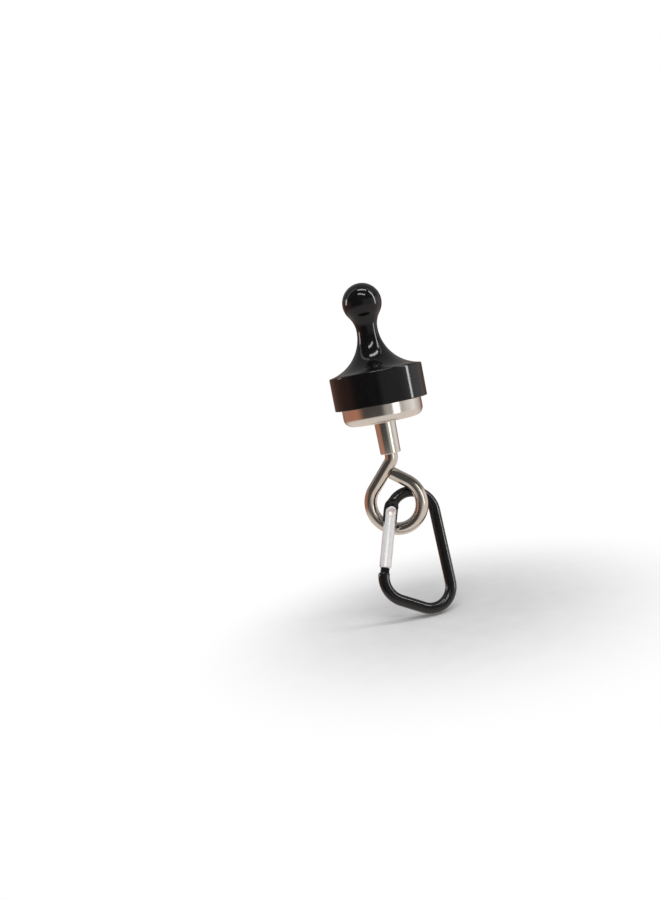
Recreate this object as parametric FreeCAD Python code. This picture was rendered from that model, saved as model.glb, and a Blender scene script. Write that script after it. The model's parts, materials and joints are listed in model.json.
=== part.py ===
"""Pocket magnetic retriever: a pot magnet with an eye bolt and a small carabiner, capped by a
pawn-shaped keeper magnet.

Millimetres, +Z up. The origin is the centre of the pot magnet's working face. The keeper stands above
it, and the bush, the eye bolt and the carabiner hang below it. The front is -Y.
"""

import FreeCAD, Part
import math
import os

V = FreeCAD.Vector

# Running and assembly gaps
RUNNING_GAP = 0.05
THREAD_GAP = 0.07

# Pot magnet: a steel cup, open upwards, with a magnet disc cast in with resin
POT_R = 12.5
POT_H = 8.0
POT_CORNER_R = 2.6
POT_RIM_CHAMFER = 0.3
POT_CAVITY_R = 10.5
POT_CAVITY_DEPTH = 5.2
POT_MAGNET_R = 9.5
POT_MAGNET_RECESS = 0.2

# Threaded bush on the back of the pot
BUSH_TOP_R = 3.35
BUSH_END_R = 3.2
BUSH_END_Z = -18.4
BUSH_END_CHAMFER = 0.3
SPIGOT_R = 2.9
BUSH_SEAT_DEPTH = 0.15
BUSH_MOUTH_R = 2.2
BORE_TOP_Z = -8.7

# Rolled M4 thread, drawn as rings so that the bolt turns freely
THREAD_MAJOR_R = 2.0
THREAD_MINOR_R = 1.62
THREAD_PITCH = 0.7
THREAD_TOP_Z = -9.3
THREAD_TURNS = 11

# Eye bolt: one wire, bent in a plane that is turned about the vertical
WIRE_R = 2.0
EYE_TURN_DEG = -12.0
EYE_R = 8.2
EYE_CENTRE_X = -1.35
EYE_CENTRE_Z = -34.45
SHANK_BEND_DEG = 41.0
SHANK_BEND_R = 3.5
TAIL_FROM_DEG = 54.0
TAIL_LENGTH = 5.3

# Keeper: a moulded pawn with a magnet and a steel plate in its base
DRUM_R = 14.5
DRUM_TOP_Z = 7.9
DRUM_EDGE_R = 0.55
SKIRT_Z = -2.5
SKIRT_EDGE = 0.3
SKIRT_BORE_R = 12.7
SKIRT_LEDGE_Z = 0.1
FLARE_R = 13.0
WAIST_R = 3.3
WAIST_Z = 20.64
KNOB_R = 6.1
KNOB_Z = 28.9
# The neck's hollow touches the waist and runs tangent into the knob
NECK_R = (WAIST_R ** 2 + (KNOB_Z - WAIST_Z) ** 2 - KNOB_R ** 2) / (2 * (KNOB_R - WAIST_R))
KEEPER_DISC_R = 12.0
KEEPER_MAGNET_H = 5.0
KEEPER_PLATE_H = 1.5
DISC_CHAMFER = 0.3

# Carabiner: its own plane is y = y0 + ACROSS (x - x0) + UP (z - z0), through the hinge rivet
HINGE = V(-3.65, -2.1, -36.77)
PLANE_ACROSS = 0.34
PLANE_UP = 0.34
GATE_LEAN_DEG = 17.1
ROD_R = 1.75

# Outline of the rod in the carabiner's plane: x towards the spine, y up along the gate
ROD_CORNERS = [(0.0, 5.8), (11.9, 10.65), (24.5, -29.2), (-0.45, -25.3)]
ROD_BENDS = [7.4, 7.2, 7.0, 7.3]

# Gate: a round bar, drilled from the hinge end and slotted at both ends
GATE_R = 1.85
GATE_END_Y = -17.2
GATE_END_CHAMFER = 0.25
GATE_BORE_R = 1.1
GATE_BORE_END_Y = -12.0
HINGE_SLOT_END_Y = -4.4
NOSE_SLOT_END_Y = GATE_END_Y + 1.75

# Flattened hinge end and the tongue of the nose
TAB_HALF_T = 0.65
TAB_HALF_W = 2.2
TAB_END_Y = -3.3
TAB_CORNER = 0.6
HINGE_SHOULDER_Y = 2.2
TAB_TOP_Y = 3.4
NOSE_SHOULDER_Y = GATE_END_Y - 1.7
NECK_HALF_W = 1.3
TONGUE_INNER_X = 0.8
TONGUE_STEP_Y = GATE_END_Y - RUNNING_GAP
ROD_START_Y = 0.0
ROD_END_Y = GATE_END_Y + 1.5

# Hinge rivet
RIVET_R = 0.65
RIVET_HEAD_R = 1.3
RIVET_HEAD_H = 0.42
SPOT_FACE_R = 1.5
SPOT_FACE_W = 1.6

# Follower and spring in the gate's bore
FOLLOWER_R = 1.05
FOLLOWER_TOP_Y = -3.33
FOLLOWER_SEAT_Y = -4.9
FOLLOWER_NUB_R = 0.5
FOLLOWER_NUB_END_Y = -5.7
SPRING_MEAN_R = 0.78
SPRING_WIRE_R = 0.16
SPRING_TURNS = 10


def line(a, b):
    """Straight edge between two points."""
    return Part.LineSegment(a, b).toShape()


def arc(a, middle, b):
    """Arc edge through three points."""
    return Part.Arc(a, middle, b).toShape()


def revolve(edges):
    """Solid of revolution about Z from edges that close a half section in the XZ plane."""
    face = Part.Face(Part.Wire(edges))
    return face.revolve(V(0, 0, 0), V(0, 0, 1), 360)


def section(points):
    """Edges of a closed polygon in the XZ plane, from (radius, z) pairs."""
    corners = [V(r, 0, z) for r, z in points]
    return [line(a, b) for a, b in zip(corners, corners[1:] + corners[:1])]


def disc(radius, low, high, chamfer):
    """Round disc with chamfered edges."""
    return revolve(section([
        (0, low),
        (radius - chamfer, low),
        (radius, low + chamfer),
        (radius, high - chamfer),
        (radius - chamfer, high),
        (0, high),
    ]))


def on_circle(centre, radius, degrees):
    """Point on a circle in the XZ plane."""
    angle = math.radians(degrees)
    return centre + V(radius * math.cos(angle), 0, radius * math.sin(angle))


def bend(before, corner, after, radius):
    """Start, middle and end of the arc that rounds a corner."""
    a = (before - corner).normalize()
    b = (after - corner).normalize()
    half = a.getAngle(b) / 2
    reach = radius / math.tan(half)
    centre = corner + (a + b).normalize() * (radius / math.sin(half))
    middle = centre + (corner - centre).normalize() * radius
    return corner + a * reach, middle, corner + b * reach


def rounded_path(points, radii):
    """Wire of straight runs joined by tangent arcs."""
    edges = []
    at = points[0]
    for before, corner, after, radius in zip(points, points[1:], points[2:], radii):
        start, middle, end = bend(before, corner, after, radius)
        edges.append(line(at, start))
        edges.append(arc(start, middle, end))
        at = end
    edges.append(line(at, points[-1]))
    return Part.Wire(edges)


def round_bar(path, start, direction, radius):
    """Round bar of one radius along a wire."""
    ring = Part.Wire(Part.Circle(start, direction, radius).toShape())
    return path.makePipeShell([ring], True, False)


def box(low, high):
    """Box between two opposite corners, given as (x, y, z)."""
    size = [b - a for a, b in zip(low, high)]
    return Part.makeBox(*size, V(*low))


def prism(points, half):
    """Polygon in the XY plane, thickened to both sides."""
    corners = [V(x, y, -half) for x, y in points]
    face = Part.Face(Part.makePolygon(corners + corners[:1]))
    return face.extrude(V(0, 0, 2 * half))


def thread_profile(gap):
    """Zigzag of the thread from its top down, as (radius, z) pairs, opened by a gap."""
    points = []
    for turn in range(THREAD_TURNS):
        z = THREAD_TOP_Z - turn * THREAD_PITCH
        points.append((THREAD_MINOR_R + gap, z))
        points.append((THREAD_MAJOR_R + gap, z - THREAD_PITCH / 2))
    points.append((THREAD_MINOR_R + gap, THREAD_TOP_Z - THREAD_TURNS * THREAD_PITCH))
    return points


# Pot magnet

def pot_cup():
    flat_r = POT_R - POT_CORNER_R
    corner = V(flat_r, 0, -POT_H + POT_CORNER_R)
    low = V(flat_r, 0, -POT_H)
    side = V(POT_R, 0, -POT_H + POT_CORNER_R)
    rim_low = V(POT_R, 0, -POT_RIM_CHAMFER)
    rim = V(POT_R - POT_RIM_CHAMFER, 0, 0)
    lip = V(POT_CAVITY_R, 0, 0)
    floor_out = V(POT_CAVITY_R, 0, -POT_CAVITY_DEPTH)
    floor_in = V(SPIGOT_R, 0, -POT_CAVITY_DEPTH)
    hole = V(SPIGOT_R, 0, -POT_H + BUSH_SEAT_DEPTH)
    seat = V(BUSH_TOP_R + RUNNING_GAP, 0, -POT_H + BUSH_SEAT_DEPTH)
    seat_rim = V(BUSH_TOP_R + RUNNING_GAP, 0, -POT_H)
    return revolve([
        line(hole, seat),
        line(seat, seat_rim),
        line(seat_rim, low),
        arc(low, on_circle(corner, POT_CORNER_R, -45), side),
        line(side, rim_low),
        line(rim_low, rim),
        line(rim, lip),
        line(lip, floor_out),
        line(floor_out, floor_in),
        line(floor_in, hole),
    ])


def pot_magnet():
    return disc(POT_MAGNET_R, -POT_CAVITY_DEPTH, -POT_MAGNET_RECESS, DISC_CHAMFER)


def pot_resin_ring():
    return revolve(section([
        (POT_MAGNET_R, -POT_CAVITY_DEPTH),
        (POT_CAVITY_R, -POT_CAVITY_DEPTH),
        (POT_CAVITY_R, -POT_MAGNET_RECESS),
        (POT_MAGNET_R, -POT_MAGNET_RECESS),
    ]))


def threaded_bush():
    bore = thread_profile(THREAD_GAP)
    return revolve(section([
        (0, -POT_CAVITY_DEPTH),
        (SPIGOT_R, -POT_CAVITY_DEPTH),
        (SPIGOT_R, -POT_H + BUSH_SEAT_DEPTH),
        (BUSH_TOP_R, -POT_H + BUSH_SEAT_DEPTH),
        (BUSH_END_R, BUSH_END_Z + BUSH_END_CHAMFER),
        (BUSH_END_R - BUSH_END_CHAMFER, BUSH_END_Z),
        (BUSH_MOUTH_R, BUSH_END_Z),
        (BUSH_MOUTH_R, bore[-1][1]),
        *reversed(bore),
        (bore[0][0], BORE_TOP_Z),
        (0, BORE_TOP_Z),
    ]))


# Eye bolt

def eye_bolt():
    thread = thread_profile(0)
    thread_end = thread[-1][1]
    tip = thread[0][1] + DISC_CHAMFER
    core = revolve(section([
        (0, tip),
        (THREAD_MINOR_R - DISC_CHAMFER, tip),
        *thread,
        (WIRE_R, thread_end - DISC_CHAMFER),
        (WIRE_R, thread_end - 2 * DISC_CHAMFER),
        (0, thread_end - 2 * DISC_CHAMFER),
    ]))
    centre = V(EYE_CENTRE_X, 0, EYE_CENTRE_Z)
    first = 180 - SHANK_BEND_DEG
    last = 360 + TAIL_FROM_DEG
    ring_start = on_circle(centre, EYE_R, first)
    ring_end = on_circle(centre, EYE_R, last)
    lean = math.radians(SHANK_BEND_DEG)
    corner = V(0, 0, ring_start.z - ring_start.x / math.tan(lean))
    shank_top = V(0, 0, thread_end - 2 * DISC_CHAMFER)
    bend_start, bend_middle, bend_end = bend(shank_top, corner, ring_start, SHANK_BEND_R)
    tail = math.radians(TAIL_FROM_DEG + 90)
    tail_end = ring_end + V(math.cos(tail), 0, math.sin(tail)) * TAIL_LENGTH
    path = Part.Wire([
        line(shank_top, bend_start),
        arc(bend_start, bend_middle, bend_end),
        line(bend_end, ring_start),
        arc(ring_start, on_circle(centre, EYE_R, (first + last) / 2), ring_end),
        line(ring_end, tail_end),
    ])
    bar = round_bar(path, shank_top, V(0, 0, -1), WIRE_R)
    bolt = core.fuse(bar)
    bolt.rotate(V(0, 0, 0), V(0, 0, 1), EYE_TURN_DEG)
    return bolt


# Keeper

def keeper_shell():
    flare_centre = V(WAIST_R + FLARE_R, 0, WAIST_Z)
    neck_centre = V(WAIST_R + NECK_R, 0, WAIST_Z)
    knob_centre = V(0, 0, KNOB_Z)
    flare_drop = WAIST_Z - DRUM_TOP_Z
    flare_low = V(flare_centre.x - math.sqrt(FLARE_R ** 2 - flare_drop ** 2), 0, DRUM_TOP_Z)
    flare_from = 180 + math.degrees(math.asin(flare_drop / FLARE_R))
    waist = V(WAIST_R, 0, WAIST_Z)
    to_neck = (neck_centre - knob_centre).normalize()
    knob_low = knob_centre + to_neck * KNOB_R
    knob_low_deg = math.degrees(math.atan2(to_neck.z, to_neck.x))
    edge_centre = V(DRUM_R - DRUM_EDGE_R, 0, DRUM_TOP_Z - DRUM_EDGE_R)
    disc_r = KEEPER_DISC_R + RUNNING_GAP
    cavity_top = KEEPER_MAGNET_H + KEEPER_PLATE_H
    skirt_in = V(SKIRT_BORE_R, 0, SKIRT_Z)
    skirt_out = V(DRUM_R - SKIRT_EDGE, 0, SKIRT_Z)
    skirt_side = V(DRUM_R, 0, SKIRT_Z + SKIRT_EDGE)
    edge_low = V(DRUM_R, 0, edge_centre.z)
    edge_top = V(edge_centre.x, 0, DRUM_TOP_Z)
    crown = V(0, 0, KNOB_Z + KNOB_R)
    cavity_axis = V(0, 0, cavity_top)
    cavity_edge = V(disc_r, 0, cavity_top)
    ledge_in = V(disc_r, 0, SKIRT_LEDGE_Z)
    ledge_out = V(SKIRT_BORE_R, 0, SKIRT_LEDGE_Z)
    return revolve([
        line(skirt_in, skirt_out),
        line(skirt_out, skirt_side),
        line(skirt_side, edge_low),
        arc(edge_low, on_circle(edge_centre, DRUM_EDGE_R, 45), edge_top),
        line(edge_top, flare_low),
        arc(flare_low, on_circle(flare_centre, FLARE_R, (flare_from + 180) / 2), waist),
        arc(waist, on_circle(neck_centre, NECK_R, (180 + 180 + knob_low_deg) / 2), knob_low),
        arc(knob_low, on_circle(knob_centre, KNOB_R, (knob_low_deg + 90) / 2), crown),
        line(crown, cavity_axis),
        line(cavity_axis, cavity_edge),
        line(cavity_edge, ledge_in),
        line(ledge_in, ledge_out),
        line(ledge_out, skirt_in),
    ])


def keeper_magnet():
    return disc(KEEPER_DISC_R, 0, KEEPER_MAGNET_H, DISC_CHAMFER)


def keeper_back_plate():
    top = KEEPER_MAGNET_H + KEEPER_PLATE_H
    return disc(KEEPER_DISC_R, KEEPER_MAGNET_H, top, DISC_CHAMFER)


# Carabiner, built flat about its hinge rivet: x towards the spine, y up the gate, z to the front

def carabiner_placement():
    """Where the flat carabiner stands on the eye."""
    lean = math.radians(GATE_LEAN_DEG)
    up = V(math.sin(lean), PLANE_ACROSS * math.sin(lean) + PLANE_UP * math.cos(lean), math.cos(lean))
    up.normalize()
    front = V(PLANE_ACROSS, -1, PLANE_UP).normalize()
    across = up.cross(front)
    return FreeCAD.Placement(FreeCAD.Matrix(
        across.x, up.x, front.x, HINGE.x,
        across.y, up.y, front.y, HINGE.y,
        across.z, up.z, front.z, HINGE.z,
        0, 0, 0, 1,
    ))


def carabiner_body():
    start = V(0, ROD_START_Y, 0)
    corners = [V(x, y, 0) for x, y in ROD_CORNERS]
    end = V(0, ROD_END_Y, 0)
    path = rounded_path([start, *corners, end], ROD_BENDS)
    rod = round_bar(path, start, V(0, 1, 0), ROD_R)
    far = 3 * ROD_R
    for side in (-1, 1):
        face = side * TAB_HALF_T
        low, high = sorted((face, side * far))
        rod = rod.cut(box((-far, TAB_END_Y - 1, low), (far, HINGE_SHOULDER_Y, high)))
        rod = rod.cut(box((-far, NOSE_SHOULDER_Y, low), (far, ROD_END_Y + 1, high)))
        low, high = sorted((side * NECK_HALF_W, side * far))
        rod = rod.cut(box((low, NOSE_SHOULDER_Y, -far), (high, ROD_END_Y + 1, far)))
    rod = rod.cut(box((TONGUE_INNER_X, TONGUE_STEP_Y, -far), (far, ROD_END_Y + 1, far)))
    tab = prism([
        (-TAB_HALF_W, TAB_END_Y + TAB_CORNER),
        (-TAB_HALF_W + TAB_CORNER, TAB_END_Y),
        (TAB_HALF_W - TAB_CORNER, TAB_END_Y),
        (TAB_HALF_W, TAB_END_Y + TAB_CORNER),
        (TAB_HALF_W, HINGE_SHOULDER_Y),
        (ROD_R, TAB_TOP_Y),
        (-ROD_R + TAB_CORNER, TAB_TOP_Y),
        (-TAB_HALF_W, HINGE_SHOULDER_Y - TAB_CORNER),
    ], TAB_HALF_T)
    body = rod.fuse(tab).removeSplitter()
    return body.cut(Part.makeCylinder(RIVET_R, 2 * far, V(0, 0, -far), V(0, 0, 1)))


def carabiner_gate():
    length = GATE_R - GATE_END_Y
    bar = Part.makeCylinder(GATE_R, length, V(0, GATE_END_Y, 0), V(0, 1, 0))
    end_edges = [e for e in bar.Edges if e.BoundBox.YMax < GATE_END_Y + 0.01]
    bar = bar.makeChamfer(GATE_END_CHAMFER, end_edges)
    half = 2 * GATE_R
    outline = Part.makeCylinder(GATE_R, 2 * half, V(0, 0, -half), V(0, 0, 1))
    outline = outline.fuse(box((-half, GATE_END_Y - 1, -half), (half, 0, half)))
    gate = bar.common(outline)
    bore_length = GATE_R - GATE_BORE_END_Y
    gate = gate.cut(Part.makeCylinder(GATE_BORE_R, bore_length, V(0, GATE_BORE_END_Y, 0), V(0, 1, 0)))
    slot = TAB_HALF_T + RUNNING_GAP
    gate = gate.cut(box((-half, HINGE_SLOT_END_Y, -slot), (half, half, slot)))
    web = TONGUE_INNER_X + RUNNING_GAP
    gate = gate.cut(box((-half, GATE_END_Y - 1, -slot), (web, NOSE_SLOT_END_Y, slot)))
    gate = gate.cut(Part.makeCylinder(RIVET_R + RUNNING_GAP, 2 * half, V(0, 0, -half), V(0, 0, 1)))
    for side in (-1, 1):
        spot = Part.makeCylinder(SPOT_FACE_R, half, V(0, 0, side * SPOT_FACE_W), V(0, 0, side))
        gate = gate.cut(spot)
    return gate


def gate_hinge_rivet():
    head_low = SPOT_FACE_W + RUNNING_GAP / 2
    rivet = Part.makeCylinder(RIVET_R, 2 * head_low, V(0, 0, -head_low), V(0, 0, 1))
    for side in (-1, 1):
        base = V(0, 0, side * head_low)
        head = Part.makeCylinder(RIVET_HEAD_R, RIVET_HEAD_H, base, V(0, 0, side))
        outer = [e for e in head.Edges if abs(e.CenterOfMass.z) > head_low + RIVET_HEAD_H - 0.01]
        head = head.makeFillet(0.8 * RIVET_HEAD_H, outer)
        rivet = rivet.fuse(head)
    return rivet.removeSplitter()


def gate_follower():
    body_length = FOLLOWER_TOP_Y - FOLLOWER_SEAT_Y
    body = Part.makeCylinder(FOLLOWER_R, body_length, V(0, FOLLOWER_SEAT_Y, 0), V(0, 1, 0))
    nub_length = FOLLOWER_TOP_Y - FOLLOWER_NUB_END_Y
    nub = Part.makeCylinder(FOLLOWER_NUB_R, nub_length, V(0, FOLLOWER_NUB_END_Y, 0), V(0, 1, 0))
    return body.fuse(nub).removeSplitter()


def gate_spring():
    gap = SPRING_WIRE_R + RUNNING_GAP
    low = GATE_BORE_END_Y + gap
    length = FOLLOWER_SEAT_Y - gap - low
    pitch = length / SPRING_TURNS
    coil = Part.Wire(Part.makeHelix(pitch, length, SPRING_MEAN_R))
    slope = V(0, SPRING_MEAN_R * 2 * math.pi, pitch).normalize()
    spring = round_bar(coil, V(SPRING_MEAN_R, 0, 0), slope, SPRING_WIRE_R)
    spring.rotate(V(0, 0, 0), V(1, 0, 0), -90)
    spring.translate(V(0, low, 0))
    return spring


STRAIGHT_PARTS = {
    "pot_cup": pot_cup,
    "pot_magnet": pot_magnet,
    "pot_resin_ring": pot_resin_ring,
    "threaded_bush": threaded_bush,
    "eye_bolt": eye_bolt,
    "keeper_shell": keeper_shell,
    "keeper_magnet": keeper_magnet,
    "keeper_back_plate": keeper_back_plate,
}
CARABINER_PARTS = {
    "carabiner_body": carabiner_body,
    "carabiner_gate": carabiner_gate,
    "gate_hinge_rivet": gate_hinge_rivet,
    "gate_spring": gate_spring,
    "gate_follower": gate_follower,
}


def write(name, shape):
    """Write one node's STEP file, after checking that it is closed solids."""
    solid = shape.Solids[0] if len(shape.Solids) == 1 else shape
    assert solid.isValid() and solid.Solids, name
    assert solid.Volume > 0, name
    solid.exportStep("parts/" + name + ".step")
    print(name, len(shape.Solids), round(solid.Volume, 2))


os.makedirs("parts", exist_ok=True)
for part_name, make in STRAIGHT_PARTS.items():
    write(part_name, make())
on_the_eye = carabiner_placement()
for part_name, make in CARABINER_PARTS.items():
    flat = make()
    flat.Placement = on_the_eye.multiply(flat.Placement)
    write(part_name, flat)
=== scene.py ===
"""Studio scene of the pocket magnetic retriever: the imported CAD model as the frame, with a finished
piece over every part that shows.

Metres, in the CAD model's own frame: +Z runs from the pot magnet to the keeper's knob, and -Y is the
front. Meshes are built in millimetres and scaled by MM when they are finished.
"""

import bpy
import bmesh
import json
import math
from mathutils import Matrix, Vector


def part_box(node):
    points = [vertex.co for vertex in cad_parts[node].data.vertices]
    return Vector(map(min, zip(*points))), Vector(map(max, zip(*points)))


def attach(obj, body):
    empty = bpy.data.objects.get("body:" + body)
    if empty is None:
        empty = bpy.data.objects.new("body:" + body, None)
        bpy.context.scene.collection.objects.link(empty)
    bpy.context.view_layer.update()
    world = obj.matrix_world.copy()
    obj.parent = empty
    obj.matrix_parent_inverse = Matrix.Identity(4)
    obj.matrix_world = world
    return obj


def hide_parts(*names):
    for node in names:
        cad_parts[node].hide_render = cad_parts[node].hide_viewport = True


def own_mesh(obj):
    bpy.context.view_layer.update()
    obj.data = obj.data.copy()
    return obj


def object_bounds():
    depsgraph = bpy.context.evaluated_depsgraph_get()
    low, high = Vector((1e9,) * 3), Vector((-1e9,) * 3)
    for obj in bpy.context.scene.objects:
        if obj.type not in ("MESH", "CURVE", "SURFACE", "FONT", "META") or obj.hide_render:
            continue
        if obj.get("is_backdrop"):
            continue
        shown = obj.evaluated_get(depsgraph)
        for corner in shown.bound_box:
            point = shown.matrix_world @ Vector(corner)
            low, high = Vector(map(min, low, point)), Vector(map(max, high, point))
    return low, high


MM = 0.001
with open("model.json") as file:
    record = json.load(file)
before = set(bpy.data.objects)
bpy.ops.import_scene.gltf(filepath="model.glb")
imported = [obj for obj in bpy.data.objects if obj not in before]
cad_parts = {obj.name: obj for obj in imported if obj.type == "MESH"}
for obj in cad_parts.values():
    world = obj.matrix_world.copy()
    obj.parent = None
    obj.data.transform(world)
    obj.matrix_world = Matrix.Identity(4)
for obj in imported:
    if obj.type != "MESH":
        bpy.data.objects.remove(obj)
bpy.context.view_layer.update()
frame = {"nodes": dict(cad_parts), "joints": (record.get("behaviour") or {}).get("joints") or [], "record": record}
joints = {joint["name"]: joint for joint in frame["joints"]}
scene = bpy.context.scene


# Camera: a little above the pot magnet, close to the object, rolled so that the object leans left

CAMERA_AT = (0.0, -0.240, 0.008)
CAMERA_YAW_DEG = 4.415
CAMERA_PITCH_DEG = -5.184
CAMERA_ROLL_DEG = -11.306
CAMERA_LENS = 30.727


def make_camera():
    data = bpy.data.cameras.new("camera")
    data.lens = CAMERA_LENS
    data.clip_start = 0.01
    data.clip_end = 50
    camera = bpy.data.objects.new("camera", data)
    scene.collection.objects.link(camera)
    turn = Matrix.Rotation(math.radians(CAMERA_YAW_DEG), 4, "Z")
    tip = Matrix.Rotation(math.radians(90 + CAMERA_PITCH_DEG), 4, "X")
    roll = Matrix.Rotation(math.radians(CAMERA_ROLL_DEG), 4, "Z")
    camera.matrix_world = Matrix.Translation(CAMERA_AT) @ turn @ tip @ roll
    scene.camera = camera


# Outlines in two dimensions

def arc(centre, radius, first, last, steps):
    """Points on an arc about centre, angles in degrees, both ends kept."""
    points = []
    for i in range(steps + 1):
        angle = math.radians(first + (last - first) * i / steps)
        points.append((centre[0] + radius * math.cos(angle), centre[1] + radius * math.sin(angle)))
    return points


def round_corner(before, corner, after, radius, step_deg):
    """Points of the tangent arc that rounds a corner."""
    corner = Vector(corner)
    a = (Vector(before) - corner).normalized()
    b = (Vector(after) - corner).normalized()
    half = a.angle(b) / 2
    centre = corner + (a + b).normalized() * (radius / math.sin(half))
    start = corner + a * (radius / math.tan(half)) - centre
    end = corner + b * (radius / math.tan(half)) - centre
    first = math.degrees(math.atan2(start.y, start.x))
    turn = (math.degrees(math.atan2(end.y, end.x)) - first + 180) % 360 - 180
    steps = max(2, round(abs(turn) / step_deg))
    return arc(centre, radius, first, first + turn, steps)


def rounded(points, radii, step_deg=3.0):
    """Open polygon with its inner corners rounded; a radius of 0 keeps a corner sharp."""
    out = [points[0]]
    for before, corner, after, radius in zip(points, points[1:], points[2:], radii):
        if radius == 0:
            out.append(corner)
        else:
            out.extend(round_corner(before, corner, after, radius, step_deg))
    out.append(points[-1])
    return out


def resample(points, spacing):
    """Points at an even spacing along an open polygon, both ends kept."""
    points = [Vector(p) for p in points]
    lengths = [(b - a).length for a, b in zip(points, points[1:])]
    count = max(1, round(sum(lengths) / spacing))
    out = []
    for i in range(count):
        left = sum(lengths) * i / count
        leg = 0
        while left > lengths[leg]:
            left -= lengths[leg]
            leg += 1
        out.append(points[leg].lerp(points[leg + 1], left / lengths[leg]))
    out.append(points[-1])
    return out


# Meshes

SHARP_DEG = 32.0
LATHE_SEGMENTS = 192


def mark_sharp(bm):
    for face in bm.faces:
        face.smooth = True
    for edge in bm.edges:
        edge.smooth = len(edge.link_faces) != 2 or edge.calc_face_angle(0) < math.radians(SHARP_DEG)


def face_outwards(bm):
    """Turn the faces of a closed mesh outwards."""
    bmesh.ops.recalc_face_normals(bm, faces=bm.faces)
    if bm.calc_volume(signed=True) < 0:
        bmesh.ops.reverse_faces(bm, faces=bm.faces)


def finish_mesh(name, bm, place=Matrix.Identity(4)):
    """Object from a closed bmesh in millimetres, put in its place in metres."""
    bmesh.ops.remove_doubles(bm, verts=bm.verts, dist=1e-5)
    face_outwards(bm)
    mark_sharp(bm)
    mesh = bpy.data.meshes.new(name)
    bm.to_mesh(mesh)
    bm.free()
    mesh.transform(place @ Matrix.Scale(MM, 4))
    obj = bpy.data.objects.new(name, mesh)
    scene.collection.objects.link(obj)
    return obj


def skin(bm, rings, closed=False):
    """Quads between neighbouring rings; a ring of one vertex is a pole."""
    pairs = list(zip(rings, rings[1:]))
    if closed:
        pairs.append((rings[-1], rings[0]))
    for low, high in pairs:
        count = max(len(low), len(high))
        for i in range(count):
            j = (i + 1) % count
            corners = [low[i % len(low)], low[j % len(low)], high[j % len(high)], high[i % len(high)]]
            distinct = list(dict.fromkeys(corners))
            if len(distinct) > 2:
                bm.faces.new(distinct)


def add_lathe(bm, profile, segments=LATHE_SEGMENTS):
    """Solid of revolution about Z from (radius, z) pairs: a closed ring, unless both ends are on the
    axis."""
    rings = []
    for radius, z in profile:
        if radius < 1e-6:
            rings.append([bm.verts.new((0, 0, z))])
            continue
        turns = [2 * math.pi * i / segments for i in range(segments)]
        rings.append([bm.verts.new((radius * math.cos(t), radius * math.sin(t), z)) for t in turns])
    on_axis = len(rings[0]) == 1 and len(rings[-1]) == 1
    skin(bm, rings, closed=not on_axis)


def lathe(name, profile, place=Matrix.Identity(4), segments=LATHE_SEGMENTS):
    bm = bmesh.new()
    add_lathe(bm, profile, segments)
    return finish_mesh(name, bm, place)


def superellipse(half_width, half_height, power, count):
    """Points round an oval that goes from an ellipse, power 2, towards a rectangle."""
    points = []
    for i in range(count):
        t = 2 * math.pi * (i + 0.5) / count
        c, s = math.cos(t), math.sin(t)
        x = math.copysign(abs(c) ** (2 / power), c) * half_width
        y = math.copysign(abs(s) ** (2 / power), s) * half_height
        points.append((x, y))
    return points


def add_ring(bm, at, across, front, points):
    return [bm.verts.new(at + across * x + front * y) for x, y in points]


def circle_ring(bm, at, across, front, radius, segments):
    turns = [2 * math.pi * i / segments for i in range(segments)]
    return [bm.verts.new(at + (across * math.cos(t) + front * math.sin(t)) * radius) for t in turns]


def box_mesh(low, high):
    bm = bmesh.new()
    size = Vector(high) - Vector(low)
    place = Matrix.Translation((Vector(low) + Vector(high)) / 2) @ Matrix.Diagonal((*size, 1))
    bmesh.ops.create_cube(bm, size=1, matrix=place)
    return bm


def prism_mesh(points, half):
    """Outline in x and y, drawn out to both sides along z."""
    bm = bmesh.new()
    rings = [[bm.verts.new((x, y, z)) for x, y in points] for z in (-half, half)]
    skin(bm, rings)
    for ring in rings:
        bm.faces.new(ring)
    return bm


def rod_mesh(radius, low, high, axis, segments=96):
    """Plain round rod about the local y or z axis, used as a cutter."""
    bm = bmesh.new()
    add_lathe(bm, [(0, low), (radius, low), (radius, high), (0, high)], segments)
    if axis == "y":
        bm.transform(Matrix.Rotation(math.radians(-90), 4, "X"))
    return bm


def boolean(obj, cutter_bm, operation):
    """Cut or intersect obj with a mesh, both in millimetres, and keep the result."""
    bmesh.ops.recalc_face_normals(cutter_bm, faces=cutter_bm.faces)
    mesh = bpy.data.meshes.new("cutter")
    cutter_bm.to_mesh(mesh)
    cutter_bm.free()
    cutter = bpy.data.objects.new("cutter", mesh)
    scene.collection.objects.link(cutter)
    modifier = obj.modifiers.new("boolean", "BOOLEAN")
    modifier.operation = operation
    modifier.object = cutter
    modifier.solver = "EXACT"
    bake(obj)
    bpy.data.objects.remove(cutter)
    bpy.data.meshes.remove(mesh)


def settle(obj):
    """Close the slivers that cutting left, and put a piece built about the hinge rivet in its place."""
    bm = bmesh.new()
    bm.from_mesh(obj.data)
    bmesh.ops.remove_doubles(bm, verts=bm.verts, dist=1e-4)
    bmesh.ops.holes_fill(bm, edges=bm.edges, sides=4)
    face_outwards(bm)
    mark_sharp(bm)
    bm.to_mesh(obj.data)
    bm.free()
    obj.data.transform(CARABINER_PLACE @ Matrix.Scale(MM, 4))
    return obj


def bake(obj):
    """Apply every modifier of obj to its mesh."""
    depsgraph = bpy.context.evaluated_depsgraph_get()
    mesh = bpy.data.meshes.new_from_object(obj.evaluated_get(depsgraph))
    old = obj.data
    obj.modifiers.clear()
    obj.data = mesh
    bpy.data.meshes.remove(old)
    mesh.name = obj.name


# Sizes of the CAD model that its nodes' boxes and joints give, in millimetres

def node_box(node):
    low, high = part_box(node)
    return low / MM, high / MM


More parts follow.
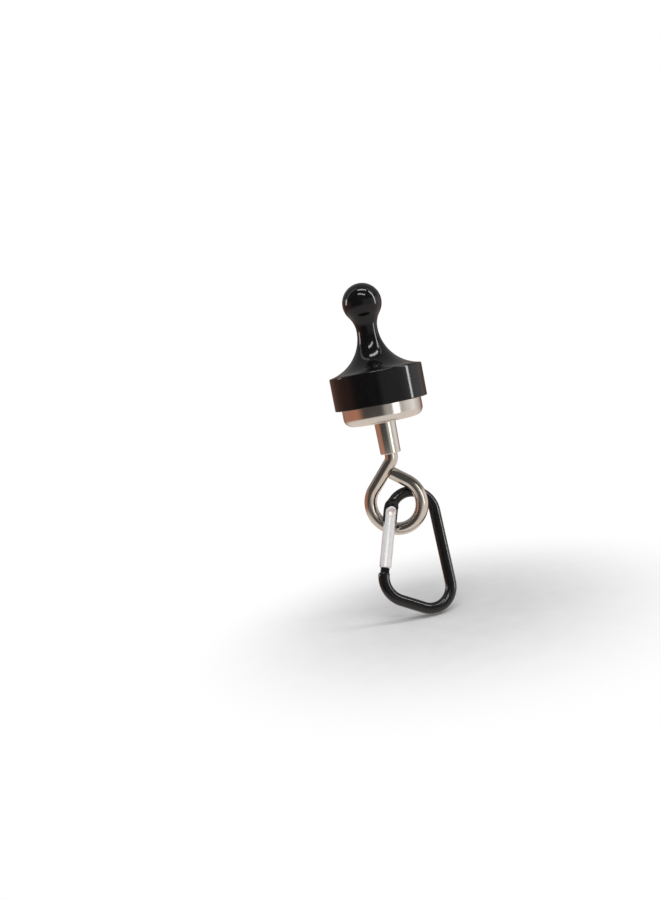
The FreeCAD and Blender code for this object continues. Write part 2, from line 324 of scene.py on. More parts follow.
DRUM_R = node_box("keeper_shell")[1].x
KNOB_TOP_Z = node_box("keeper_shell")[1].z
SKIRT_Z = node_box("keeper_shell")[0].z
DISC_R = node_box("keeper_magnet")[1].x
PLATE_TOP_Z = node_box("keeper_back_plate")[1].z
MAGNET_TOP_Z = node_box("keeper_magnet")[1].z
POT_R = node_box("pot_cup")[1].x
POT_BACK_Z = node_box("pot_cup")[0].z
POT_MAGNET_R = node_box("pot_magnet")[1].x
POT_FLOOR_Z, POT_MAGNET_TOP_Z = node_box("pot_magnet")[0].z, node_box("pot_magnet")[1].z
BUSH_END_Z = node_box("threaded_bush")[0].z


# Keeper: drum, hollow flare, waist and ball in one moulding

def keeper_profile():
    top_z = 7.9
    flare_r, waist_r, waist_z, knob_r = 13.0, 3.3, 20.64, 6.1
    knob = Vector((0, KNOB_TOP_Z - knob_r))
    neck_r = (waist_r ** 2 + (knob.y - waist_z) ** 2 - knob_r ** 2) / (2 * (knob_r - waist_r))
    flare = Vector((waist_r + flare_r, waist_z))
    neck = Vector((waist_r + neck_r, waist_z))
    drop = waist_z - top_z
    flare_from = 180 + math.degrees(math.asin(drop / flare_r))
    foot_r = flare.x - math.sqrt(flare_r ** 2 - drop ** 2)
    to_neck = neck - knob
    neck_deg = math.degrees(math.atan2(to_neck.y, to_neck.x))
    edge_r, skirt_edge = 0.55, 0.3
    bore_r, ledge_z, socket_r = 12.7, 0.1, DISC_R + 0.05
    foot_blend = round_corner(
        (DRUM_R, top_z), (foot_r, top_z), arc(flare, flare_r, flare_from - 4, 180, 1)[0], 0.5, 10)
    profile = [(0, PLATE_TOP_Z), (socket_r, PLATE_TOP_Z), (socket_r, ledge_z), (bore_r, ledge_z)]
    profile += round_corner((bore_r, ledge_z), (bore_r, SKIRT_Z), (DRUM_R, SKIRT_Z), 0.15, 15)
    profile += round_corner((bore_r, SKIRT_Z), (DRUM_R, SKIRT_Z), (DRUM_R, top_z), skirt_edge, 10)
    profile += round_corner((DRUM_R, SKIRT_Z), (DRUM_R, top_z), (foot_r, top_z), edge_r, 7.5)
    profile += foot_blend
    profile += arc(flare, flare_r, flare_from - 4, 180, 40)[1:]
    profile += arc(neck, neck_r, 180, 180 + neck_deg, 24)[1:]
    profile += arc(knob, knob_r, neck_deg, 90, 56)[1:-1]
    profile.append((0, KNOB_TOP_Z))
    return profile


def keeper_shell():
    return lathe("keeper_moulding", keeper_profile())


def rounded_disc(name, radius, low, high):
    edge = 0.3
    corners = [(0, low), (radius, low), (radius, high), (0, high)]
    return lathe(name, rounded(corners, [edge, edge], 15))


# Pot magnet

def pot_cup():
    cavity_r, spigot_r, seat_r, seat_z = 10.5, 2.9, 3.40, POT_BACK_Z + 0.15
    corners = [
        (spigot_r, POT_FLOOR_Z),
        (spigot_r, seat_z),
        (seat_r, seat_z),
        (seat_r, POT_BACK_Z),
        (POT_R, POT_BACK_Z),
        (POT_R, 0),
        (cavity_r, 0),
        (cavity_r, POT_FLOOR_Z),
        (spigot_r, POT_FLOOR_Z + 1e-4),
    ]
    return lathe("pot_magnet_cup", rounded(corners, [0, 0, 0.04, 2.6, 0.3, 0.15, 0], 5))


def thread_rings(top, turns, gap):
    """Zigzag of the M4 thread, drawn as rings, from its top down."""
    major, minor, pitch, flat = 2.0, 1.62, 0.7, 0.09
    points = []
    for turn in range(turns):
        z = top - turn * pitch
        points += [(minor + gap, z), (minor + gap, z - flat)]
        points += [(major + gap, z - pitch / 2), (major + gap, z - pitch / 2 - flat)]
    points.append((minor + gap, top - turns * pitch))
    return points


THREAD_TOP_Z = -9.3
THREAD_TURNS = 11


def threaded_bush():
    spigot_r, top_r, end_r, mouth_r, bore_top = 2.9, 3.35, 3.2, 2.2, -8.7
    seat_z = POT_BACK_Z + 0.15
    thread = thread_rings(THREAD_TOP_Z, THREAD_TURNS, 0.07)
    corners = [
        (0, POT_FLOOR_Z),
        (spigot_r, POT_FLOOR_Z),
        (spigot_r, seat_z),
        (top_r, seat_z),
        (end_r, BUSH_END_Z),
        (mouth_r, BUSH_END_Z),
        (mouth_r, thread[-1][1]),
    ]
    outside = rounded(corners, [0, 0, 0.1, 0.3, 0.2], 9)
    inside = [*reversed(thread), (thread[0][0], bore_top), (0, bore_top)]
    return lathe("threaded_bush_turned", outside + inside)


# Eye bolt: one wire, bent in the plane that the carabiner's swing axis is square to

SWING_AXIS = Vector(joints["carabiner_swing"]["axis"])
EYE_CENTRE = Vector(joints["carabiner_swing"]["pos_m"]) / MM
EYE_ACROSS = Vector((SWING_AXIS.y, -SWING_AXIS.x, 0)).normalized()
WIRE_R = 2.0


def eye_path():
    """Centreline from the thread's end round the eye to the cut end, as 3-D points."""
    ring_r, lean_deg, bend_r, tail_deg, tail = 8.2, 41.0, 3.5, 54.0, 5.3
    centre = Vector((EYE_CENTRE.dot(EYE_ACROSS), EYE_CENTRE.z))
    first, last = 180 - lean_deg, 360 + tail_deg
    ring = arc(centre, ring_r, first, last, 150)
    corner = (0, ring[0][1] - ring[0][0] / math.tan(math.radians(lean_deg)))
    top = (0, THREAD_TOP_Z - THREAD_TURNS * 0.7 - 0.6)
    away = math.radians(tail_deg + 90)
    end = (ring[-1][0] + tail * math.cos(away), ring[-1][1] + tail * math.sin(away))
    flat = [top, *round_corner(top, corner, ring[0], bend_r, 2.5), *ring, end]
    return [EYE_ACROSS * x + Vector((0, 0, z)) for x, z in resample(flat, 0.35)]


def eye_bolt():
    """Rolled thread, shank and eye in one skin, with a softened edge at the cut end."""
    segments, bevel = 64, 0.22
    bm = bmesh.new()
    thread = thread_rings(THREAD_TOP_Z, THREAD_TURNS, 0)
    tip = THREAD_TOP_Z + 0.3
    stations = [(thread[0][0] - 0.3, tip), *thread, (WIRE_R, thread[-1][1] - 0.3)]
    rings = [[bm.verts.new((0, 0, tip))]]
    for radius, z in stations:
        rings.append(circle_ring(bm, Vector((0, 0, z)), EYE_ACROSS, SWING_AXIS, radius, segments))
    path = eye_path()
    for before, at, after in zip([path[0], *path], path, [*path[1:], path[-1]]):
        across = (before - after).normalized().cross(SWING_AXIS)
        rings.append(circle_ring(bm, at, across, SWING_AXIS, WIRE_R, segments))
    along = (path[-1] - path[-2]).normalized()
    for share in (0.3, 0.7, 1.0):
        radius = WIRE_R - bevel * (1 - math.sqrt(1 - share ** 2))
        at = path[-1] + along * bevel * share
        rings.append(circle_ring(bm, at, across, SWING_AXIS, radius, segments))
    rings.append([bm.verts.new(path[-1] + along * bevel)])
    skin(bm, rings)
    return finish_mesh("eye_bolt_wire", bm)


# Carabiner: x towards the spine, y up the gate and z to the front, about the hinge rivet

def carabiner_place():
    front = Vector(joints["gate_open"]["axis"]).normalized()
    up = -Vector(joints["follower_slide"]["axis"]).normalized()
    across = up.cross(front)
    turn = Matrix((across, up, front)).transposed().to_4x4()
    return Matrix.Translation(joints["gate_open"]["pos_m"]) @ turn


CARABINER_PLACE = carabiner_place()
ROD_R = 1.75
RIVET_R = 0.65
TAB_END_Y = -3.3
SQUARE = 9.0
GATE_END_Y = -17.2
BORE_END_Y = -12.0
FOLLOWER_SEAT_Y = -4.9
RUNNING_GAP = 0.05


def smooth(share):
    share = min(max(share, 0), 1)
    return share * share * (3 - 2 * share)


def rod_path():
    """Centreline of the carabiner's rod, from the hinge tab's end round to the nose's tip."""
    corners = [
        (0, TAB_END_Y), (0, 5.8), (11.9, 10.65), (24.5, -29.2), (-0.45, -25.3), (0, GATE_END_Y + 1.5)]
    return resample(rounded(corners, [7.4, 7.2, 7.0, 7.3], 2.5), 0.3)


def rod_section(at):
    """Half width, half thickness and squareness of the rod near its hinge tab."""
    tab_w, tab_t, corner_r = 2.2, 0.65, 0.6
    round_from, round_length = 2.2, 1.9
    to_corner = min(1, (at.y - TAB_END_Y) / corner_r)
    share = smooth((at.y - round_from) / round_length)
    tab_w -= corner_r * (1 - math.sqrt(max(0, 1 - (1 - to_corner) ** 2)))
    width = tab_w * (1 - share) + ROD_R * share
    thick = tab_t * (1 - share) + ROD_R * share
    return width, thick, SQUARE * (1 - share) ** 2 + 2 * (1 - (1 - share) ** 2)


def carabiner_body():
    """Round rod with a flattened hinge tab at one end and a stepped tongue at the other."""
    count = 64
    shoulder_y, step_y, tip_y = GATE_END_Y - 1.7, GATE_END_Y - 0.05, GATE_END_Y + 1.5
    neck_w, neck_t, edge = 1.3, 0.65, 0.12
    tongue_x, tongue_w = -0.25, 1.05
    front = Vector((0, 0, 1))
    path = rod_path()
    bm = bmesh.new()
    rings = []
    turned = len(path) // 2
    for i, (before, at, after) in enumerate(zip([path[0], *path], path, [*path[1:], path[-1]])):
        along = (after - before).normalized()
        across = Vector((along.y, -along.x, 0))
        if i > turned and at.x < 1 and at.y > shoulder_y - 0.35:
            break
        near_hinge = i < turned and at.x < 3
        width, thick, power = rod_section(at) if near_hinge else (ROD_R, ROD_R, 2)
        rings.append(add_ring(bm, at.to_3d(), across, front, superellipse(width, thick, power, count)))
    across = Vector((1, 0, 0))
    stations = [
        (shoulder_y - edge, 0, ROD_R, ROD_R, 2),
        (shoulder_y, 0, ROD_R - edge, ROD_R - edge, 2),
        (shoulder_y, 0, neck_w, neck_t, SQUARE),
        (step_y - 0.08, 0, neck_w, neck_t, SQUARE),
        (step_y, tongue_x, tongue_w, neck_t, SQUARE),
        (tip_y - edge, tongue_x, tongue_w, neck_t, SQUARE),
        (tip_y, tongue_x, tongue_w - edge, neck_t - edge, SQUARE),
    ]
    for y, x, width, thick, power in stations:
        section = superellipse(width, thick, power, count)
        rings.append(add_ring(bm, Vector((x, y, 0)), across, front, section))
    skin(bm, rings)
    bm.faces.new(rings[0])
    bm.faces.new(rings[-1])
    body = finish_mesh("carabiner_rod", bm, Matrix.Scale(1 / MM, 4))
    boolean(body, rod_mesh(RIVET_R, -ROD_R, ROD_R, "z", 48), "DIFFERENCE")
    return settle(body)


def carabiner_gate():
    """Round bar, rounded at the hinge, slotted at both ends and drilled for its spring."""
    radius, slot, web = 1.85, 0.70, 0.85
    chamfer, bore_r, hinge_slot_end = 0.25, 1.1, -4.4
    spot_r, spot_face, wide = 1.5, 1.6, 6.0
    bm = bmesh.new()
    add_lathe(bm, [
        (0, GATE_END_Y), (radius - chamfer, GATE_END_Y), (radius, GATE_END_Y + chamfer),
        (radius, radius), (0, radius)], 128)
    bm.transform(Matrix.Rotation(math.radians(-90), 4, "X"))
    gate = finish_mesh("carabiner_gate_bar", bm, Matrix.Scale(1 / MM, 4))
    outline = [(-wide, GATE_END_Y - 1), (wide, GATE_END_Y - 1)]
    outline += [(wide, 0), *arc((0, 0), radius, 0, 180, 64), (-wide, 0)]
    boolean(gate, prism_mesh(outline, wide), "INTERSECT")
    boolean(gate, rod_mesh(bore_r, BORE_END_Y, 2 * radius, "y", 64), "DIFFERENCE")
    boolean(gate, box_mesh((-wide, hinge_slot_end, -slot), (wide, wide, slot)), "DIFFERENCE")
    nose_slot = box_mesh((-wide, GATE_END_Y - 1, -slot), (web, GATE_END_Y + 1.75, slot))
    boolean(gate, nose_slot, "DIFFERENCE")
    boolean(gate, rod_mesh(RIVET_R + 0.05, -wide, wide, "z", 48), "DIFFERENCE")
    for side in (-1, 1):
        low, high = sorted((side * spot_face, side * wide))
        boolean(gate, rod_mesh(spot_r, low, high, "z", 64), "DIFFERENCE")
    edges = gate.modifiers.new("edges", "BEVEL")
    edges.width = 0.07
    edges.segments = 2
    edges.limit_method = "ANGLE"
    edges.angle_limit = math.radians(SHARP_DEG)
    bake(gate)
    return settle(gate)


def hinge_rivet():
    """Shaft with a domed head on each side."""
    head_low, head_r, head_h = 1.625, 1.3, 0.42
    dome_r = 2.4
    top = head_low + head_h
    centre = top - dome_r
    rim_deg = math.degrees(math.acos((head_r - 0.12) / dome_r))
    dome = [(r, z) for r, z in arc((0, centre), dome_r, rim_deg, 90, 14)][:-1]
    rim = [(head_r - 0.05, head_low), (head_r, head_low + 0.05), (head_r, dome[0][1] - 0.08)]
    upper = [(RIVET_R - 0.01, head_low), *rim, *dome, (0, top)]
    lower = [(r, -z) for r, z in reversed(upper)]
    return lathe("hinge_rivet_domed", [*lower, *upper], CARABINER_PLACE, 96)


def gate_spring():
    """Coil between the end of the gate's bore and the follower."""
    coil_r, wire_r, turns, steps = 0.78, 0.16, 10, 32
    low = BORE_END_Y + RUNNING_GAP + wire_r
    high = FOLLOWER_SEAT_Y - RUNNING_GAP - wire_r
    bm = bmesh.new()
    rings = []
    for i in range(turns * steps + 1):
        turn = 2 * math.pi * i / steps
        outward = Vector((math.cos(turn), 0, -math.sin(turn)))
        height = low + (high - low) * i / (turns * steps)
        at = outward * coil_r + Vector((0, height, 0))
        rings.append(circle_ring(bm, at, outward, Vector((0, 1, 0)), wire_r, 12))
    skin(bm, rings)
    for ring in (rings[0], rings[-1]):
        bm.faces.new(ring)
    return finish_mesh("gate_spring_coil", bm, CARABINER_PLACE)


def shorten_spring(spring):
    """Give the coil a mesh of its own."""
    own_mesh(spring)


# Materials: each is procedural, in the object's own coordinates, in metres

def new_material(name):
    material = bpy.data.materials.new(name)
    material.use_nodes = True
    tree = material.node_tree
    tree.nodes.clear()
    output = tree.nodes.new("ShaderNodeOutputMaterial")
    shader = tree.nodes.new("ShaderNodeBsdfPrincipled")
    tree.links.new(shader.outputs["BSDF"], output.inputs["Surface"])
    return material, tree, shader


def noise(tree, per_mm, detail=4.0, roughness=0.55, stretch=(1, 1, 1)):
    """Noise with a given number of features a millimetre, stretched along axes."""
    coordinates = tree.nodes.new("ShaderNodeTexCoord")
    mapping = tree.nodes.new("ShaderNodeMapping")
    mapping.inputs["Scale"].default_value = [s * per_mm / MM for s in stretch]
    texture = tree.nodes.new("ShaderNodeTexNoise")
    texture.inputs["Scale"].default_value = 1
    texture.inputs["Detail"].default_value = detail
    texture.inputs["Roughness"].default_value = roughness
    tree.links.new(coordinates.outputs["Object"], mapping.inputs["Vector"])
    tree.links.new(mapping.outputs["Vector"], texture.inputs["Vector"])
    return texture.outputs["Fac"]


def spread(tree, value, low, high, from_low=0.3, from_high=0.7):
    """Map a noise value to a range."""
    node = tree.nodes.new("ShaderNodeMapRange")
    node.inputs["From Min"].default_value = from_low
    node.inputs["From Max"].default_value = from_high
    node.inputs["To Min"].default_value = low
    node.inputs["To Max"].default_value = high
    tree.links.new(value, node.inputs["Value"])
    return node.outputs["Result"]


def smooth_range(tree, value, low, high):
    """Smooth step from 0 at low to 1 at high."""
    node = tree.nodes.new("ShaderNodeMapRange")
    node.interpolation_type = "SMOOTHSTEP"
    node.inputs["From Min"].default_value = low
    node.inputs["From Max"].default_value = high
    tree.links.new(value, node.inputs["Value"])
    return node.outputs["Result"]


def mix_colours(tree, factor, first, second):
    """Mix of two colours, each given as a colour or as another node's output."""
    node = tree.nodes.new("ShaderNodeMix")
    node.data_type = "RGBA"
    tree.links.new(factor, node.inputs["Factor"])
    for socket, value in (("A", first), ("B", second)):
        if isinstance(value, tuple):
            node.inputs[socket].default_value = (*value, 1)
        else:
            tree.links.new(value, node.inputs[socket])
    return node.outputs["Result"]


def bump(tree, shader, layers):
    """Stack bumps; each layer is a height value and its depth in metres."""
    normal = None
    for value, depth in layers:
        node = tree.nodes.new("ShaderNodeBump")
        node.inputs["Distance"].default_value = depth
        tree.links.new(value, node.inputs["Height"])
        if normal is not None:
            tree.links.new(normal, node.inputs["Normal"])
        normal = node.outputs["Normal"]
    tree.links.new(normal, shader.inputs["Normal"])


ROUND = (1, 1, 1)
ALONG_Z = (1, 1, 0.06)
ACROSS_Z = (0.08, 0.08, 1)


def finish(name, colours, roughness, metallic, layers, mottle=(0.6, ROUND), rough_noise=(1.5, ROUND),
           ior=1.5):
    """Material with two mottled colours, a roughness that varies and a stack of bumps.

    Each noise is (features a millimetre, stretch along the axes), and each bump adds its depth in metres.
    """
    material, tree, shader = new_material(name)
    shader.inputs["Metallic"].default_value = metallic
    shader.inputs["IOR"].default_value = ior
    colour_value = spread(tree, noise(tree, mottle[0], 5, 0.6, mottle[1]), 0, 1)
    colour = mix_colours(tree, colour_value, *colours)
    tree.links.new(colour, shader.inputs["Base Color"])
    rough = spread(tree, noise(tree, rough_noise[0], 6, 0.65, rough_noise[1]), *roughness)
    tree.links.new(rough, shader.inputs["Roughness"])
    heights = [(noise(tree, per_mm, 4, 0.55, stretch), depth) for per_mm, stretch, depth in layers]
    bump(tree, shader, heights)
    return material


def make_materials():
    return {
        "black_gloss_plastic": finish(
            "black_gloss_plastic", ((0.0024, 0.0022, 0.0025), (0.0040, 0.0036, 0.0040)), (0.07, 0.13), 0.0,
            [(0.12, ROUND, 0.7e-5), (1.6, ROUND, 0.25e-6), (14.0, ROUND, 0.5e-7)], rough_noise=(2.5, ROUND),
            ior=1.40),
        "nickel_plating": finish(
            "nickel_plating", ((0.80, 0.755, 0.70), (0.73, 0.68, 0.62)), (0.13, 0.18), 1.0,
            [(0.25, ROUND, 1.5e-6), (5.0, ACROSS_Z, 0.6e-7), (18.0, ROUND, 0.3e-7)], mottle=(0.25, ROUND),
            rough_noise=(3.0, ACROSS_Z)),
        "nickel_wire": finish(
            "nickel_wire", ((0.76, 0.70, 0.63), (0.66, 0.60, 0.53)), (0.13, 0.17), 1.0,
            [(0.3, ROUND, 1.5e-6), (7.0, ALONG_Z, 0.6e-7), (20.0, ROUND, 0.3e-7)], mottle=(0.4, ROUND),
            rough_noise=(3.0, ALONG_Z)),
        "magnet_nickel": finish(
            "magnet_nickel", ((0.74, 0.72, 0.69), (0.66, 0.64, 0.61)), (0.13, 0.26), 1.0,
            [(0.4, ROUND, 3e-6), (9.0, ROUND, 5e-7)], mottle=(0.3, ROUND)),
        "plain_steel": finish(
            "plain_steel", ((0.56, 0.56, 0.57), (0.47, 0.47, 0.49)), (0.25, 0.42), 1.0,
            [(3.0, (1, 0.1, 1), 2e-6), (16.0, ROUND, 5e-7)], mottle=(0.5, ROUND)),
        "cast_resin": finish(
            "cast_resin", ((0.022, 0.022, 0.024), (0.045, 0.043, 0.045)), (0.32, 0.55), 0.0,
            [(0.6, ROUND, 2.5e-5), (4.0, ROUND, 4e-6)], mottle=(0.8, ROUND)),
        "black_anodised": finish(
            "black_anodised", ((0.0030, 0.0028, 0.0030), (0.0055, 0.0050, 0.0053)), (0.15, 0.26), 0.0,
            [(0.2, ROUND, 6e-6), (3.0, ROUND, 1.2e-6), (15.0, ROUND, 3e-7)], rough_noise=(2.0, ROUND),
            ior=1.50),
        "bright_aluminium": finish(
            "bright_aluminium", ((0.84, 0.825, 0.815), (0.77, 0.755, 0.75)), (0.30, 0.38), 0.45,
            [(0.5, ROUND, 4e-6), (8.0, (1, 0.08, 0.08), 3e-7), (18.0, ROUND, 2e-7)], mottle=(0.7, ROUND),
            rough_noise=(4.0, (1, 0.1, 0.1))),
        "rivet_metal": finish(
            "rivet_metal", ((0.90, 0.83, 0.80), (0.82, 0.74, 0.71)), (0.22, 0.34), 0.6,
            [(0.8, ROUND, 3e-6), (10.0, ROUND, 3e-7)], mottle=(1.2, ROUND)),
        "spring_steel": finish(
            "spring_steel", ((0.48, 0.48, 0.50), (0.38, 0.38, 0.40)), (0.2, 0.35), 1.0,
            [(6.0, ROUND, 8e-7)], mottle=(1.0, ROUND)),
    }


def paint(obj, material):
    obj.data.materials.clear()
    obj.data.materials.append(material)


# Floor: a painted shadow, grey under the object, fading into the white background

FLOOR_GAP = 0.0004
# Colours, centre and size of the painted shadow pool: the floor is grey round the object and white further out
SHADOW_POOL_COLOURS = ((0.43, 0.43, 0.435), (0.46, 0.46, 0.465))
SHADOW_POOL_CENTRE = (0.010, -0.006, 0)
SHADOW_POOL_RADIUS, WHITE_RADIUS = 0.012, 0.085
FLOOR_RINGS = (0.1, 0.3, 1.0, 8.0)
FLOOR_SEGMENTS = 96


def make_floor(height):
    material, tree, shader = new_material("studio_floor")
    shader.inputs["Roughness"].default_value = 0.75
    grain = spread(tree, noise(tree, 0.15, 5), 0, 1)
    tree.links.new(mix_colours(tree, grain, *SHADOW_POOL_COLOURS), shader.inputs["Base Color"])
    bump(tree, shader, [(noise(tree, 0.6, 3), 2e-5)])
    coordinates = tree.nodes.new("ShaderNodeTexCoord")
    distance = tree.nodes.new("ShaderNodeVectorMath")
    distance.operation = "DISTANCE"
    distance.inputs[1].default_value = SHADOW_POOL_CENTRE
    tree.links.new(coordinates.outputs["Object"], distance.inputs[0])
    # Painted shadow: the grey floor colour shows round the centre and gives way to white emission by WHITE_RADIUS
    fade = smooth_range(tree, distance.outputs["Value"], SHADOW_POOL_RADIUS, WHITE_RADIUS)
    glow = tree.nodes.new("ShaderNodeEmission")
    mix = tree.nodes.new("ShaderNodeMixShader")
    tree.links.new(fade, mix.inputs["Fac"])
    tree.links.new(shader.outputs["BSDF"], mix.inputs[1])
    tree.links.new(glow.outputs["Emission"], mix.inputs[2])
    output = next(node for node in tree.nodes if node.type == "OUTPUT_MATERIAL")
    tree.links.new(mix.outputs["Shader"], output.inputs["Surface"])
    bm = bmesh.new()
    rings = [[bm.verts.new((0, 0, 0))]]
    for radius in FLOOR_RINGS:
        turns = [2 * math.pi * i / FLOOR_SEGMENTS for i in range(FLOOR_SEGMENTS)]
        rings.append([bm.verts.new((radius * math.cos(t), radius * math.sin(t), 0)) for t in turns])
    skin(bm, rings)
    bmesh.ops.recalc_face_normals(bm, faces=bm.faces)
    mesh = bpy.data.meshes.new("studio_floor")
    bm.to_mesh(mesh)
    bm.free()
    floor = bpy.data.objects.new("studio_floor", mesh)
    scene.collection.objects.link(floor)
    floor.location.z = height
    mesh.materials.append(material)
    floor.visible_glossy = False
    floor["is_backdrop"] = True
    strip_lit.objects.link(floor)


# Lights: each is a panel seen from the object in a direction, with an angular size in degrees

LIGHT_DISTANCE = 0.7

# The narrow strips are much brighter than white, so only the black pieces and the floor are lit by
# them. The aluminium has a softer bar of its own, and the nickel a softer panel.
strip_lit = bpy.data.collections.new("strip_lit")
bar_lit = bpy.data.collections.new("bar_lit")
panel_lit = bpy.data.collections.new("panel_lit")
LIT_BY = {
    "black_gloss_plastic": strip_lit,
    "black_anodised": strip_lit,
    "bright_aluminium": bar_lit,
    "rivet_metal": bar_lit,
    "nickel_plating": panel_lit,
    "nickel_wire": panel_lit,
}


def lamp(name, radiance, wide, tall, glossy):
    data = bpy.data.lights.new(name, "AREA")
    data.shape = "RECTANGLE"
    data.size = wide
    data.size_y = tall
    data.energy = radiance * math.pi * wide * tall
    obj = bpy.data.objects.new(name, data)
    scene.collection.objects.link(obj)
    obj.visible_camera = False
    obj.visible_glossy = glossy
    return obj


def strip(name, first, last, wide_deg, radiance, receivers=strip_lit):
    """Narrow light that runs between two directions as seen from the object."""
    ends = [Vector(direction).normalized() * LIGHT_DISTANCE for direction in (first, last)]
    middle = (ends[0] + ends[1]) / 2
    along = (ends[1] - ends[0]).normalized()
    back = (middle - along * middle.dot(along)).normalized()
    wide = 2 * middle.length * math.tan(math.radians(wide_deg / 2))
    obj = lamp(name, radiance, wide, (ends[1] - ends[0]).length, True)
    obj.light_linking.receiver_collection = receivers
    turn = Matrix((along.cross(back), along, back)).transposed().to_4x4()
    obj.matrix_world = Matrix.Translation(middle) @ turn


def fill(name, direction, size_deg, radiance):
    """Large soft light that shows in no reflection."""
    away = Vector(direction).normalized()
    size = 2 * LIGHT_DISTANCE * math.tan(math.radians(size_deg / 2))
    obj = lamp(name, radiance, size, size, False)
    turn = away.to_track_quat("Z", "Y").to_matrix().to_4x4()
    obj.matrix_world = Matrix.Translation(away * LIGHT_DISTANCE) @ turn


def make_lights():
    strip("side_strip", (0.965, -0.10, -0.20), (0.62, -0.18, 0.76), 6, 15)
    strip("top_bar", (-0.13, -0.20, 0.96), (0.46, -0.20, 0.86), 6, 14)
    strip("front_bar", (-0.19, -0.58, 0.78), (0.40, -0.66, 0.62), 6, 13)
    strip("left_rear", (-0.95, 0.22, 0.12), (-0.85, 0.18, 0.44), 10, 9)
    strip("arch_left", (-0.85, 0.10, 0.48), (-0.13, 0.02, 0.99), 6, 1.5)
    strip("arch_right", (0.46, 0.02, 0.87), (0.80, 0.02, 0.50), 6, 1.5)
    strip("gate_bar", (-0.02, -0.96, -0.35), (0.06, -0.92, 0.55), 30, 1.9, bar_lit)
    strip("nickel_panel", (0.60, -0.72, -0.34), (0.60, -0.72, 0.45), 20, 1.3, panel_lit)
    fill("floor_key", (-0.35, -0.25, 0.9), 60, 0.9)
    fill("front_key", (0.15, -0.85, 0.45), 60, 1.4)


# Reflected studio, as (degrees round from the front, colour): dark in front on the left, brighter to
# the right, warm behind
HORIZON = [
    (-180, (0.20, 0.12, 0.09)),
    (-125, (0.42, 0.21, 0.15)),
    (-80, (0.45, 0.20, 0.13)),
    (-52, (0.07, 0.06, 0.055)),
    (-4, (0.07, 0.07, 0.07)),
    (14, (0.40, 0.40, 0.385)),
    (50, (0.44, 0.43, 0.41)),
    (78, (0.72, 0.71, 0.70)),
    (98, (0.92, 0.91, 0.90)),
    (125, (0.60, 0.56, 0.54)),
    (150, (0.24, 0.14, 0.11)),
    (180, (0.20, 0.12, 0.09)),
]
SKY_FRONT = (0.07, 0.07, 0.07)
SKY_BACK = (0.32, 0.31, 0.31)
GROUND_FRONT = (0.76, 0.72, 0.69)
GROUND_BACK = (0.80, 0.72, 0.68)
SOFT_LIGHT = (0.42, 0.42, 0.43)
WHITE = (1.0, 1.0, 1.0)

# Where one part of the studio gives way to the next, as the height or depth of a unit direction
SKY_RISE = (0.12, 0.38)
GROUND_FALL = (-0.12, -0.45)
FRONT_TO_BACK = (-0.1, 0.25)


def reflected_studio(tree):
    """Colour of the studio in a direction, as polished parts see it."""
    coordinates = tree.nodes.new("ShaderNodeTexCoord")
    parts = tree.nodes.new("ShaderNodeSeparateXYZ")
    tree.links.new(coordinates.outputs["Generated"], parts.inputs[0])
    front = tree.nodes.new("ShaderNodeMath")
    front.operation = "MULTIPLY"
    front.inputs[1].default_value = -1
    tree.links.new(parts.outputs["Y"], front.inputs[0])
    bearing = tree.nodes.new("ShaderNodeMath")
    bearing.operation = "ARCTAN2"
    tree.links.new(parts.outputs["X"], bearing.inputs[0])
    tree.links.new(front.outputs[0], bearing.inputs[1])
    share = tree.nodes.new("ShaderNodeMapRange")
    share.inputs["From Min"].default_value = -math.pi
    share.inputs["From Max"].default_value = math.pi
    tree.links.new(bearing.outputs[0], share.inputs["Value"])
    ramp = tree.nodes.new("ShaderNodeValToRGB")
    ramp.color_ramp.interpolation = "EASE"
    while len(ramp.color_ramp.elements) < len(HORIZON):
        ramp.color_ramp.elements.new(0.5)
    for element, (degrees, colour) in zip(ramp.color_ramp.elements, HORIZON):
        element.position = (degrees + 180) / 360
        element.color = (*colour, 1)
    tree.links.new(share.outputs["Result"], ramp.inputs["Fac"])
    behind = smooth_range(tree, parts.outputs["Y"], *FRONT_TO_BACK)
    sky = mix_colours(tree, behind, SKY_FRONT, SKY_BACK)
    ground = mix_colours(tree, behind, GROUND_FRONT, GROUND_BACK)
    above = smooth_range(tree, parts.outputs["Z"], *SKY_RISE)
    below = smooth_range(tree, parts.outputs["Z"], *GROUND_FALL)
    return mix_colours(tree, below, mix_colours(tree, above, ramp.outputs["Color"], sky), ground)


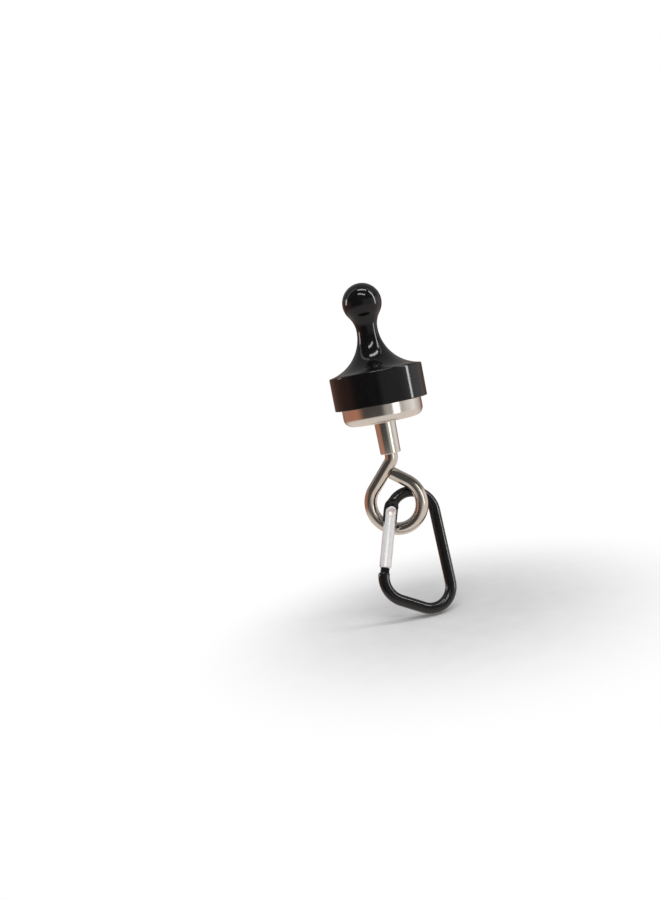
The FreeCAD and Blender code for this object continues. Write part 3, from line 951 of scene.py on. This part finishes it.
def make_world():
    """White behind the object, soft light on matt parts, and the studio in polished ones."""
    world = bpy.data.worlds.new("studio")
    scene.world = world
    world.use_nodes = True
    tree = world.node_tree
    tree.nodes.clear()
    output = tree.nodes.new("ShaderNodeOutputWorld")
    paths = tree.nodes.new("ShaderNodeLightPath")
    backdrop = tree.nodes.new("ShaderNodeBackground")
    soft = mix_colours(tree, paths.outputs["Is Glossy Ray"], SOFT_LIGHT, reflected_studio(tree))
    colour = mix_colours(tree, paths.outputs["Is Camera Ray"], soft, WHITE)
    tree.links.new(colour, backdrop.inputs["Color"])
    tree.links.new(backdrop.outputs["Background"], output.inputs["Surface"])


# The object

def build():
    """Each row is a piece, the body it rides on, the node it replaces and its material slot."""
    materials = make_materials()
    rows = [
        (keeper_shell(), "keeper", "keeper_shell", "black_gloss_plastic"),
        (rounded_disc("keeper_magnet_disc", DISC_R, 0, MAGNET_TOP_Z),
         "keeper", "keeper_magnet", "magnet_nickel"),
        (rounded_disc("keeper_plate_disc", DISC_R, MAGNET_TOP_Z, PLATE_TOP_Z),
         "keeper", "keeper_back_plate", "plain_steel"),
        (pot_cup(), "pot", "pot_cup", "nickel_plating"),
        (rounded_disc("pot_magnet_disc", POT_MAGNET_R, POT_FLOOR_Z, POT_MAGNET_TOP_Z),
         "pot", "pot_magnet", "magnet_nickel"),
        (threaded_bush(), "pot", "threaded_bush", "nickel_plating"),
        (eye_bolt(), "eye", "eye_bolt", "nickel_wire"),
        (carabiner_body(), "carabiner", "carabiner_body", "black_anodised"),
        (carabiner_gate(), "gate", "carabiner_gate", "bright_aluminium"),
        (hinge_rivet(), "carabiner", "gate_hinge_rivet", "rivet_metal"),
    ]
    spring = gate_spring()
    rows.append((spring, "gate", "gate_spring", "spring_steel"))
    for piece, body, node, slot in rows:
        paint(piece, materials[slot])
        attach(piece, body)
        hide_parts(node)
        if slot in LIT_BY:
            LIT_BY[slot].objects.link(piece)
    shorten_spring(spring)
    for subpart in frame["record"]["subparts"]:
        node = frame["nodes"][subpart["node"]]
        if not node.hide_render:
            paint(node, materials[subpart["material_slot"]])


build()
make_camera()
make_floor(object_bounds()[0].z - FLOOR_GAP)
make_lights()
make_world()
scene.view_settings.view_transform = "Standard"
